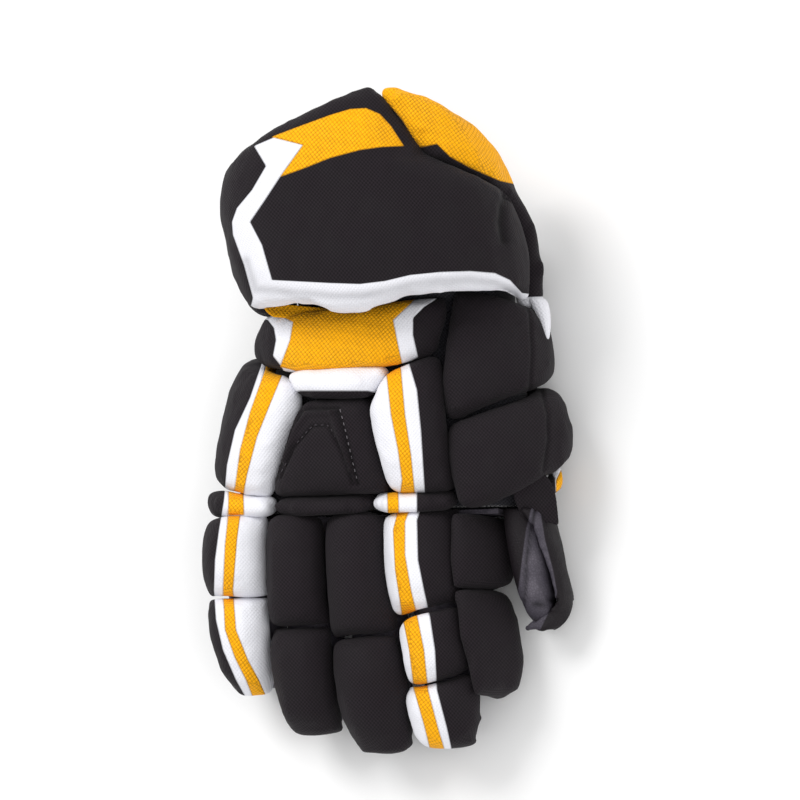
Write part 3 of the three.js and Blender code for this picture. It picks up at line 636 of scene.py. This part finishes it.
def make_lining(name):
    """The brushed knit of the liner: soft ribs along the hand."""
    shader = Shader(name)
    ribs = shader.threads(0.05, LINING_PITCH)
    rows = shader.wave((0.1, 1.0, 0.1), LINING_PITCH)
    stitches = shader.math("MULTIPLY", ribs, rows)
    patches = shader.noise(50, 3.0)
    color = shader.shade(LINING, shader.ramp(shader.math("ADD", stitches, patches), -0.5, 1.5, 0.6, 1.6))
    shader.bump(shader.math("ADD", stitches, shader.noise(NAP_SCALE)), distance=0.3 * MM, strength=0.7)
    return shader.finish(color, roughness=0.9, sheen=0.25)


def make_thread(name, tone):
    """Twisted sewing thread."""
    shader = Shader(name)
    twist = shader.wave((0.6, 1.0, 0.4), TWIST_PITCH)
    color = shader.shade(tone, shader.ramp(twist, -1, 1, 0.75, 1.1))
    shader.bump(twist, distance=0.08 * MM)
    return shader.finish(color, roughness=0.6)


cloth_material = make_cloth("sewn_cloth")
leather_material = make_leather("palm_leather", LEATHER, 1.4 * MM, srgb(104, 99, 108))
lining_material = make_lining("liner_knit")
light_thread = make_thread("light_thread", srgb(128, 123, 128))
dark_thread = make_thread("dark_thread", srgb(74, 69, 74))


# Lines pressed into a pad, or raised from it where the depth is negative; pressed ones are also darkened
# with painted shade.
# In the table below each has its pixels, its depth and its half width in pixels.
PAD_OUTER_LINE = [(276, 480), (290, 440), (303, 411), (312, 408), (338, 408), (344, 428), (358, 484)]
PAD_INNER_LINE = [(281, 478), (294, 448), (313, 426), (329, 426), (342, 452), (353, 484)]
PAD_PIPE_LEFT = [(285, 460), (298, 430), (309, 415), (333, 414)]
PAD_PIPE_RIGHT = [(333, 414), (340, 436), (350, 470)]
LIP_GROOVE = [
    (246, 262), (256, 290), (300, 294), (335, 297), (362, 297), (385, 292), (412, 285), (440, 281),
    (470, 280), (495, 283), (515, 292),
]
RIDGE = [(368, 92), (380, 104), (394, 119), (411, 149)]
CUFF_FOLD = [(507, 190), (502, 205), (500, 222), (504, 240)]
CUFF_TUCK = [(498, 184), (512, 199), (524, 215)]
THUMB_SEAM_1 = [(522, 290), (529, 315), (531, 350), (529, 397)]
THUMB_SEAM_2 = [(541, 390), (547, 415), (548, 440), (543, 470)]
THUMB_FOLD = [(534, 606), (546, 603), (557, 600)]
THUMB_INNER_SEAM = [(538, 500), (530, 535), (526, 565), (525, 595), (519, 622)]
THUMB_GREY = [
    (537, 496), (541, 515), (545, 540), (553, 570), (557, 592), (555, 602), (548, 614), (540, 630),
    (512, 632), (517, 600), (522, 560), (526, 530), (532, 505),
]
PRESSED = {
    "backhand_pad": [
        (PAD_OUTER_LINE, 1.8 * MM, 1.8),
        (PAD_INNER_LINE, 1.5 * MM, 1.6),
        (PAD_PIPE_LEFT, -2.0 * MM, 2.4),
        (PAD_PIPE_RIGHT, -2.0 * MM, 2.4),
    ],
    "cuff_back_pad": [
        (LIP_GROOVE, 0.9 * MM, 5.0),
        (RIDGE, -1.6 * MM, 7.0),
        (CUFF_FOLD, 2.0 * MM, 5.0),
        (CUFF_TUCK, 1.6 * MM, 3.5),
    ],
    "thumb_roll_1": [(THUMB_SEAM_1, 1.0 * MM, 2.0)],
    "thumb_roll_2": [(THUMB_SEAM_2, 1.0 * MM, 2.0)],
}
CREASE_FULL = 2.0 * MM          # depth of a pressed line whose painted shade is full
RIM_TOP = 512                   # where the rim starts and where it stands full out, in pixels
RIM_STRAIGHT = 592
RIM_DRAW = 4.2 * MM
RIM_TIP = (545, 600)            # middle and radii of its tip, in pixels
RIM_RADII = (28, 32)
THUMB_CREASE_WIDTH = 2.0        # half width of the thumb's creases, in pixels
THUMB_CREASE_DEPTH = 0.8 * MM

# Stitches: how far along, how wide and how high each ring of a stitch lies, in shares and radii
STITCH_RINGS = ((0.0, 0.5, -0.8), (0.12, 1.0, 0.0), (0.5, 1.0, 0.35), (0.88, 1.0, 0.0), (1.0, 0.5, -0.8))
STITCH_SIDES = 6
STITCH_PITCH = 6.6              # pixels
STITCH_SHARE = 0.5              # a stitch's length, as a share of the pitch
STITCH_RADIUS = 0.3 * MM
STITCH_LONGEST = 6 * MM
PAD_STITCH_LIGHT = [(340, 409), (345, 428), (350, 450), (355, 472), (358, 482)]
PAD_STITCH_INNER = [(297, 443), (313, 425), (329, 425), (337, 440)]
PAD_STITCH_LEFT = [(278, 478), (288, 460)]

# The lip's end, ring by ring: pixel, half its width and half its depth in millimetres
LIP_END = [
    ((533, 296), 4.0, 4.0), ((538, 300), 5.2, 5.6), ((542, 311), 4.4, 5.4), ((545, 323), 3.2, 4.6),
    ((546, 333), 2.2, 3.6), ((547, 340), 1.2, 2.2),
]
LIP_END_HEIGHT = 26 * MM
LIP_END_SIDES = 24
LIP_END_RIBS = 12
LIP_END_RIB = 0.03              # a rib's height, as a share of the radius

# Draped cloth: at the root of the thumb, and the wrist roll's edge under the lip
FLAT_LEFT = [(513, 494), (515, 502), (518, 509), (521, 517)]
FLAT_RIGHT = [(541, 470), (550, 480), (556, 494), (558, 512), (559, 526)]
HEM_LEFT = [(260, 302), (265, 310), (273, 317)]
HEM_RIGHT = [(336, 309), (336, 316), (336, 323)]
FLAT_CELLS = (9, 9)             # rows and columns
FLAT_SMOOTHING = 30             # rounds
FLAT_SAG = 0.3 * MM             # the furthest that it sinks in one round
FLAT_LIFT = 0.6 * MM            # above what it lies on
FLAT_TUCK = 2.4 * MM            # how far its lower edge goes under
FLAT_THICKNESS = 1.4 * MM


def line_distance(points, line):
    """Distance of each point to an open line."""
    nearest = np.full(len(points), np.inf)
    corners = np.array(line, float)
    for start, end in zip(corners[:-1], corners[1:]):
        edge = end - start
        share = np.clip(((points - start) @ edge) / max(edge @ edge, TINY), 0, 1)
        nearest = np.minimum(nearest, np.linalg.norm(points - start - share[:, None] * edge, axis=1))
    return nearest


def round_rim(mesh):
    """Draws the thumb's rim in towards its root, and rounds it at the tip."""
    points = coordinates(mesh)
    places = to_photo(points)
    inward = np.clip((RIM_STRAIGHT - places[:, 1]) / (RIM_STRAIGHT - RIM_TOP), 0, 1) * RIM_DRAW
    out = (places - RIM_TIP) / RIM_RADII
    reach = np.linalg.norm(out, axis=1)
    corner = (reach > 1) & (out > 0).all(axis=1)
    inset = (places - RIM_TIP) * (1 / np.maximum(reach, TINY) - 1)[:, None]
    pull = np.where(corner[:, None], inset, 0) * PIXEL
    points += np.outer(pull[:, 0] - inward, view_right) - np.outer(pull[:, 1], view_up)
    move_corners(mesh, points)


# Crumples: the size of their waves and their height
CRUMPLE = ((45 * MM, 0.55 * MM), (16 * MM, 0.22 * MM), (7 * MM, 0.08 * MM))
SEEDS_A_PAD = 10
SEEN_FROM = 0.05                # a face is seen if it faces the camera by this share


def finish_pad(piece, node, seed):
    """Fine mesh, crumples, pressed lines with painted shade, zones and cloth for a swollen pad."""
    levels = 2 if (node in ZONES or node in PRESSED) and node not in THIN_PADS else 1
    smooth(piece, levels)
    mesh = piece.data
    points = coordinates(mesh)
    outward = normals(mesh)
    seen = (outward @ np.array(view_back)) > SEEN_FROM
    height = np.full(len(points), PAD_GROWTHS.get(node, PAD_GROWTH))
    for number, (scale, depth) in enumerate(CRUMPLE):
        height += ripple(points, scale, seed * SEEDS_A_PAD + number) * depth
    places = to_photo(points)
    crease_and_shade = np.zeros(len(points))
    for line, depth, width in PRESSED.get(node, []):
        near = seen * np.exp(-(line_distance(places, line) / width) ** 2)
        height -= depth * near
        # the crease mask paints shade into the colour, deeper lines darker
        crease_and_shade = np.maximum(crease_and_shade, near * min(1, max(0, depth / CREASE_FULL)))
    points += outward * height[:, None]
    points[:, 2] = np.maximum(points[:, 2], FLOOR_GAP)
    move_corners(mesh, points)
    if node == "thumb_outer_pad":
        round_rim(mesh)
        finish_leather(piece, node)
        return
    add_zones(piece, node)
    write_values(mesh, "crease_and_shade", crease_and_shade)
    mesh.materials.append(cloth_material)
    stand(piece, node)


def finish_leather(piece, node):
    """The leather's creases, dented and darkened with painted shade, and its black part; the thumb's
    inner face is grey, its back black.
    """
    mesh = piece.data
    points = coordinates(mesh)
    places = to_photo(points)
    crease_and_shade = np.zeros(len(points))
    black = np.full(len(points), NOWHERE)
    if node.startswith("thumb_") and node != "thumb_web":
        black = -signed_distance(places, THUMB_GREY)
        for line in (THUMB_FOLD, THUMB_INNER_SEAM):
            crease_and_shade = np.maximum(crease_and_shade, np.exp(-(line_distance(places, line) / THUMB_CREASE_WIDTH) ** 2))
        points -= normals(mesh) * (crease_and_shade * THUMB_CREASE_DEPTH)[:, None]
        move_corners(mesh, points)
    write_values(mesh, "black", black)
    write_values(mesh, "crease_and_shade", crease_and_shade)
    mesh.materials.append(leather_material)
    stand(piece, node)


def new_piece(name, corners, faces):
    """A smooth-shaded object from corners and faces."""
    mesh = bpy.data.meshes.new(name)
    mesh.from_pydata([tuple(corner) for corner in corners], [], faces)
    mesh.polygons.foreach_set("use_smooth", [True] * len(mesh.polygons))
    mesh.update()
    piece = bpy.data.objects.new(name, mesh)
    bpy.context.collection.objects.link(piece)
    return piece


def face_outwards(mesh):
    """Turns a closed mesh's faces so that they face away from its inside."""
    shape = bmesh.new()
    shape.from_mesh(mesh)
    bmesh.ops.recalc_face_normals(shape, faces=shape.faces)
    shape.to_mesh(mesh)
    shape.free()


def surface_of(pieces):
    """What the camera's rays meet: all the pieces as one surface."""
    corners = []
    faces = []
    for piece in pieces:
        first = len(corners)
        corners.extend(coordinates(piece.data).tolist())
        faces.extend([first + corner for corner in face.vertices] for face in piece.data.polygons)
    return BVHTree.FromPolygons(corners, faces)


def drop(surface, pixel):
    """Where a pixel's ray meets a surface, or None."""
    start, direction = photo_ray(pixel)
    return surface.ray_cast(start, direction)[0]


def length_marks(line):
    """How far along a line each of its corners is, in pixels."""
    steps = np.linalg.norm(np.diff(np.array(line, float), axis=0), axis=1)
    return np.concatenate([[0], np.cumsum(steps)])


def along(line, count):
    """Pixel places at even distances along a line, one more than the count."""
    corners = np.array(line, float)
    marks = length_marks(line)
    at = np.linspace(0, marks[-1], count + 1)
    return np.stack([np.interp(at, marks, corners[:, 0]), np.interp(at, marks, corners[:, 1])], -1)


def tube_faces(first, rings, sides):
    """Faces of a closed tube made of rings of corners, from its first corner on."""
    faces = []
    for ring in range(rings - 1):
        low = first + ring * sides
        for turn in range(sides):
            after = (turn + 1) % sides
            faces.append((low + turn, low + after, low + sides + after, low + sides + turn))
    last = first + (rings - 1) * sides
    faces.append([first + turn for turn in range(sides)][::-1])
    faces.append([last + turn for turn in range(sides)])
    return faces


def add_capsule(corners, faces, start, end, radius):
    """Adds one stitch: a round thread that dips into the cloth at both ends."""
    axis = (end - start).normalized()
    side = axis.cross(view_back).normalized()
    top = side.cross(axis)
    first = len(corners)
    for share, width, lift in STITCH_RINGS:
        centre = start.lerp(end, share) + top * (lift * radius)
        for turn in range(STITCH_SIDES):
            angle = 2 * math.pi * turn / STITCH_SIDES
            corners.append(centre + (side * math.cos(angle) + top * math.sin(angle)) * radius * width)
    faces.extend(tube_faces(first, len(STITCH_RINGS), STITCH_SIDES))


def sew(name, node, piece, lines, material):
    """Runs of stitches on one piece, along lines given in the photograph."""
    surface = surface_of([piece])
    corners = []
    faces = []
    for line in lines:
        marks = along(line, max(2, round(length_marks(line)[-1] / STITCH_PITCH)))
        for start, end in zip(marks[:-1], marks[1:]):
            end = start + (end - start) * STITCH_SHARE
            places = [drop(surface, start), drop(surface, end)]
            if None in places or (places[0] - places[1]).length > STITCH_LONGEST:
                continue
            add_capsule(corners, faces, places[0], places[1], STITCH_RADIUS)
    thread = new_piece(name, corners, faces)
    thread.data.materials.append(material)
    stand(thread, node)


def finish_extra(piece, node):
    """Zones, cloth and what it stands for, for a small padded piece that has no solid of its own."""
    add_zones(piece, piece.name)
    piece.data.attributes.new("crease_and_shade", "FLOAT", "POINT")
    piece.data.materials.append(cloth_material)
    stand(piece, node)


def make_lip_end():
    """The rounded end of the lip, which turns down beside the upper thumb roll."""
    corners = []
    for pixel, half, depth in LIP_END:
        start, direction = photo_ray(pixel)
        centre = start + direction * ((LIP_END_HEIGHT - start.z) / direction.z)
        for turn in range(LIP_END_SIDES):
            angle = 2 * math.pi * turn / LIP_END_SIDES
            ridge = 1 + LIP_END_RIB * math.cos(LIP_END_RIBS * angle)
            out = view_right * (math.cos(angle) * half) + view_back * (math.sin(angle) * depth)
            corners.append(centre + out * ridge * MM)
    piece = new_piece("lip_end", corners, tube_faces(0, len(LIP_END), LIP_END_SIDES))
    face_outwards(piece.data)
    smooth(piece, 2)
    finish_extra(piece, "cuff_thumb_pad")


def drape(name, node, left, right, pieces, tuck=0.0):
    """Cloth between two lines, draped over what lies under it and smoothed, its last edge tucked in."""
    surface = surface_of(pieces)
    rows, columns = FLAT_CELLS
    sides = zip(along(left, rows), along(right, rows))
    places = np.array([np.linspace(start, end, columns + 1) for start, end in sides])
    far = np.zeros(places.shape[:2])
    for row in range(rows + 1):
        for column in range(columns + 1):
            start, direction = photo_ray(places[row, column])
            hit = surface.ray_cast(start, direction)
            far[row, column] = hit[3] if hit[0] else np.nan
    far = np.where(np.isnan(far), np.nanmedian(far), far)
    for _ in range(FLAT_SMOOTHING):
        padded = np.pad(far, 1, mode="edge")
        mean = (padded[:-2, 1:-1] + padded[2:, 1:-1] + padded[1:-1, :-2] + padded[1:-1, 2:]) / 4
        far = np.minimum(mean, far + FLAT_SAG)
    corners = []
    for row in range(rows + 1):
        sink = tuck * (row / rows) ** 3
        for column in range(columns + 1):
            start, direction = photo_ray(places[row, column])
            corners.append(start + direction * (far[row, column] - FLAT_LIFT + sink))
    faces = []
    for row in range(rows):
        for column in range(columns):
            low = row * (columns + 1) + column
            faces.append((low, low + columns + 1, low + columns + 2, low + 1))
    piece = new_piece(name, corners, faces)
    thickness = piece.modifiers.new("thickness", "SOLIDIFY")
    thickness.thickness = FLAT_THICKNESS
    thickness.offset = -1
    smooth(piece, 2)
    finish_extra(piece, node)


LEATHER_NODES = (
    "pinky_stall", "ring_stall", "middle_stall", "index_stall", "thumb_stall", "palm", "thumb_web",
)
THUMB_ROOT = ("thumb_roll_2", "thumb_stripe_pad", "thumb_outer_pad", "index_side_pad_1")
WRIST = ("wrist_roll", "cuff_outer_pad")

make_camera()
pads = {node: prepare_pad(node) for node in pad_nodes}
swell([piece for node, piece in pads.items() if node not in THIN_PADS])
for seed, (node, piece) in enumerate(pads.items()):
    finish_pad(piece, node, seed)

for node in LEATHER_NODES:
    piece = piece_from(node, "leather_" + node)
    if node.endswith("stall"):
        smooth(piece, 2)
    finish_leather(piece, node)

backhand = pads["backhand_pad"]
sew("light_stitches", "backhand_pad", backhand, [PAD_STITCH_LIGHT], light_thread)
sew("dark_stitches", "backhand_pad", backhand, [PAD_STITCH_INNER, PAD_STITCH_LEFT], dark_thread)

make_lip_end()
thumb_root = [pads[node] for node in THUMB_ROOT]
drape("thumb_flat", "thumb_stripe_pad", FLAT_LEFT, FLAT_RIGHT, thumb_root, FLAT_TUCK)
drape("wrist_hem", "wrist_roll", HEM_LEFT, HEM_RIGHT, [pads[node] for node in WRIST])

liner = piece_from("liner", "knit_liner")
smooth(liner, 1)
liner.data.materials.append(lining_material)
stand(liner, "liner")


FLOOR_SIZE = 8.0
WORLD_LIGHT = 0.75


def make_floor():
    """A plain pale floor."""
    bpy.ops.mesh.primitive_plane_add(size=FLOOR_SIZE, location=(0, 0, 0))
    floor = bpy.context.object
    floor.name = "floor"
    shader = Shader("floor")
    floor.data.materials.append(shader.finish(srgb(250, 250, 250), roughness=0.9))


def make_light(name, place, size, power):
    """A soft square lamp that looks at the glove."""
    data = bpy.data.lights.new(name, "AREA")
    data.size = size
    data.energy = power
    lamp = bpy.data.objects.new(name, data)
    lamp.location = place
    lamp.rotation_mode = "QUATERNION"
    lamp.rotation_quaternion = (-Vector(place)).to_track_quat("-Z", "Y")
    bpy.context.collection.objects.link(lamp)


make_floor()
make_light("key", place=(-0.7, 0.9, 1.3), size=0.8, power=16)
make_light("fill", place=(1.2, -0.4, 1.2), size=1.2, power=7)
world = bpy.data.worlds.new("studio")
world.use_nodes = True
world.node_tree.nodes["Background"].inputs["Color"].default_value = (1, 1, 1, 1)
world.node_tree.nodes["Background"].inputs["Strength"].default_value = WORLD_LIGHT
bpy.context.scene.world = world
bpy.context.scene.view_settings.view_transform = "Standard"
